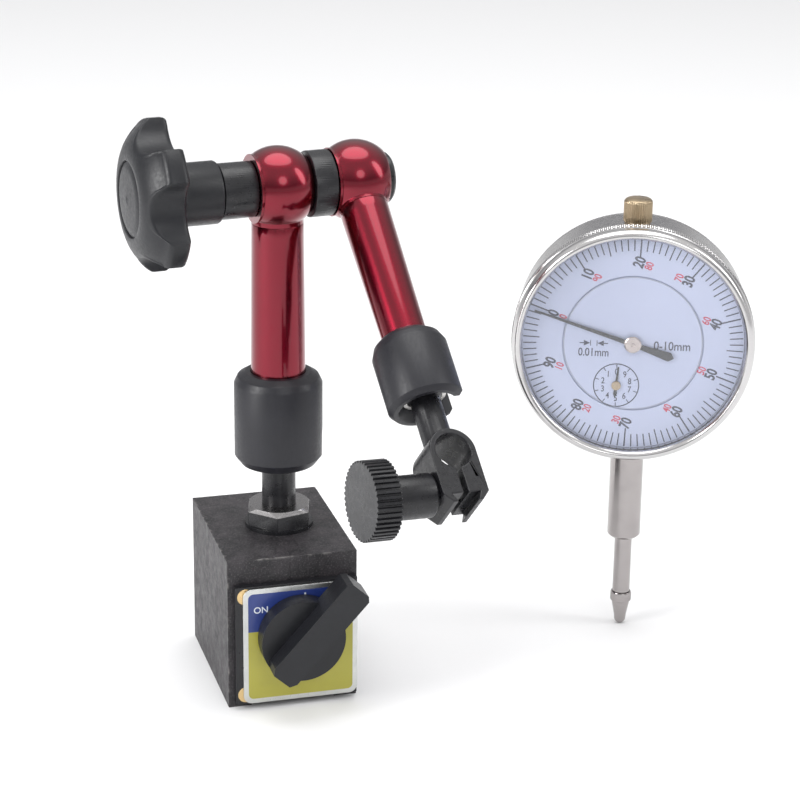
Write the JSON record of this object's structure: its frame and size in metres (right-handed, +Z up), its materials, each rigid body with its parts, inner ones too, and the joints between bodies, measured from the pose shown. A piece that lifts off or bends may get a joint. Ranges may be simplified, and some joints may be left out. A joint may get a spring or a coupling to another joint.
{
  "type": "dial indicator with magnetic base stand",
  "caption": "Dial indicator standing beside a small magnetic base stand with a jointed, ball-ended arm, a star locking knob and a stem clamp.",
  "frame": {"origin": "on the floor, under the middle of the magnetic base", "axes": "+Z up, +X to the right (towards the indicator), the front with the label and switch faces -Y"},
  "size_m": [0.1502, 0.0912, 0.1338],
  "materials": {
    "crackle_paint": "black crackle paint, matte",
    "painted_brass": "brass spacer under the same black crackle paint",
    "spacer_brass": "plain brass",
    "black_plate": "smooth black paint",
    "label_print": "printed plate, satin, silver border",
    "screw_brass": "plain brass screw heads",
    "magnet_steel": "dull ferrite magnet",
    "rotor_metal": "turned aluminium",
    "black_plastic": "black moulded plastic, fine grain",
    "pin_steel": "plain steel pin",
    "black_steel": "black oxide steel, satin",
    "cup_zinc": "bright zinc plated",
    "sleeve_black": "black oxide steel sleeve, matte",
    "red_anodised": "deep red anodised aluminium, glossy",
    "spring_steel": "spring wire",
    "hard_steel": "turned and hardened steel",
    "brass_insert": "turned brass",
    "case_metal": "satin plated case",
    "bezel_metal": "polished ring with knurled rim",
    "crystal_clear": "clear acrylic crystal",
    "dial_white": "pale bluish white printed dial",
    "pointer_black": "matte black pointer",
    "hub_silver": "polished hub",
    "cap_brass": "brown brass, knurled",
    "spindle_steel": "ground steel, bright",
    "gear_brass": "brass gears"
  },
  "bodies": {
    "base": {"left_pole": "crackle_paint", "right_pole": "crackle_paint", "upper_spacer": "painted_brass", "lower_spacer": "spacer_brass", "rear_cover": "black_plate", "front_plate": "black_plate", "plate_screws": "screw_brass", "label_plate": "label_print", "lock_nut": "black_steel", "lower_ball_stud": "black_steel"},
    "switch": {"rotor_core": "rotor_metal", "rotor_magnet": "magnet_steel", "switch_knob": "black_plastic", "knob_pin": "pin_steel"},
    "lower_cup": {"lower_ball_cup": "cup_zinc"},
    "lower_arm": {"lower_sleeve": "sleeve_black", "lower_push_rod": "hard_steel", "lower_tube": "red_anodised", "lower_housing": "red_anodised", "left_bush": "black_steel", "centre_collar": "black_steel", "wedge_cones": "hard_steel", "bolt_spring": "spring_steel", "clamp_bolt": "black_steel"},
    "star_knob": {"star_knob": "black_plastic", "knob_insert": "brass_insert", "knob_cap": "black_plastic"},
    "upper_arm": {"upper_sleeve": "sleeve_black", "upper_push_rod": "hard_steel", "upper_tube": "red_anodised", "upper_housing": "red_anodised"},
    "upper_cup": {"upper_ball_cup": "cup_zinc"},
    "clamp": {"clamp_body": "black_steel", "clamp_sleeve": "black_steel"},
    "clamp_knob": {"clamp_screw": "hard_steel", "clamp_knob": "black_steel"},
    "indicator": {"case": "case_metal", "back_cover": "case_metal", "back_screws": "pin_steel", "stem": "spindle_steel", "top_cap": "cap_brass", "dial_disc": "dial_white", "bridge_plate": "gear_brass", "plate_pillars": "gear_brass", "hairspring": "spring_steel", "guide_bar": "hard_steel", "return_spring": "spring_steel"},
    "bezel": {"bezel": "bezel_metal", "crystal": "crystal_clear", "scale_ring": "dial_white"},
    "spindle": {"spindle": "spindle_steel", "contact_point": "spindle_steel", "guide_pin": "hard_steel"},
    "count_wheel": {"count_wheel": "gear_brass", "small_pointer": "pointer_black"},
    "main_pointer": {"centre_pinion": "hard_steel", "main_pointer": "pointer_black", "pointer_hub": "hub_silver"},
    "take_up_wheel": {"take_up_wheel": "gear_brass"}
  },
  "joints": [
    {"name": "magnet_switch", "type": "hinge", "parent": "base", "child": "switch", "pos_m": [0.001, -0.02, 0.018], "axis": [0, -1, 0], "range_deg": [0, 90]},
    {"name": "column_swivel", "type": "hinge", "parent": "base", "child": "lower_cup", "pos_m": [0.0015, 0, 0.057], "axis": [0, 0, 1], "range_deg": [-180, 4]},
    {"name": "column_tilt", "type": "hinge", "parent": "lower_cup", "child": "lower_arm", "pos_m": [0.0015, 0, 0.057], "axis": [-0.1045, 0.9945, 0], "range_deg": [-12, 20]},
    {"name": "elbow", "type": "hinge", "parent": "lower_arm", "child": "upper_arm", "pos_m": [0.0197, 0.00191, 0.1165], "axis": [-0.9945, -0.1045, 0], "range_deg": [-18, 165]},
    {"name": "star_knob_turn", "type": "hinge", "parent": "lower_arm", "child": "star_knob", "pos_m": [-0.02834, -0.00314, 0.1165], "axis": [0.9945, 0.1045, 0], "range_deg": [-720, 0]},
    {"name": "clamp_tilt", "type": "hinge", "parent": "upper_arm", "child": "upper_cup", "pos_m": [0.02399, -0.03887, 0.0806], "axis": [0.0689, -0.6551, 0.7524], "range_deg": [-12, 45]},
    {"name": "clamp_spin", "type": "hinge", "parent": "upper_cup", "child": "clamp", "pos_m": [0.02399, -0.03887, 0.0806], "axis": [-0.0786, 0.7483, 0.6587], "range_deg": [-180, 180]},
    {"name": "clamp_screw_turn", "type": "hinge", "parent": "clamp", "child": "clamp_knob", "pos_m": [0.00779, -0.06108, 0.06489], "axis": [0.9847, 0.1612, -0.0656], "range_deg": [-720, 0]},
    {"name": "indicator_lift", "type": "slide", "parent": "base", "child": "indicator", "axis": [0, 0, 1], "range_m": [0, 0.1]},
    {"name": "bezel_turn", "type": "hinge", "parent": "indicator", "child": "bezel", "pos_m": [0.08561, -0.00458, 0.0747], "axis": [-0.342, -0.9397, 0], "continuous": true},
    {"name": "spindle_slide", "type": "slide", "parent": "indicator", "child": "spindle", "axis": [0, 0, 1], "range_m": [0, 0.01], "stiffness_N_per_m": 50, "springref_m": -0.012, "deforming": ["return_spring"]},
    {"name": "count_wheel_turn", "type": "hinge", "parent": "indicator", "child": "count_wheel", "pos_m": [0.08339, -0.00047, 0.06427], "axis": [-0.342, -0.9397, 0], "range_deg": [-1, 361]},
    {"name": "main_pointer_turn", "type": "hinge", "parent": "indicator", "child": "main_pointer", "pos_m": [0.08667, -0.00166, 0.0747], "axis": [-0.342, -0.9397, 0], "range_deg": [-3610, 10]},
    {"name": "take_up_turn", "type": "hinge", "parent": "indicator", "child": "take_up_wheel", "pos_m": [0.08995, -0.00286, 0.08513], "axis": [-0.342, -0.9397, 0], "range_deg": [-1, 361]}
  ],
  "couplings": [
    {"joint": "count_wheel_turn", "follows": "spindle_slide", "rad_per_m": 628.32},
    {"joint": "main_pointer_turn", "follows": "spindle_slide", "rad_per_m": -6283.2},
    {"joint": "take_up_turn", "follows": "spindle_slide", "rad_per_m": 628.32}
  ]
}
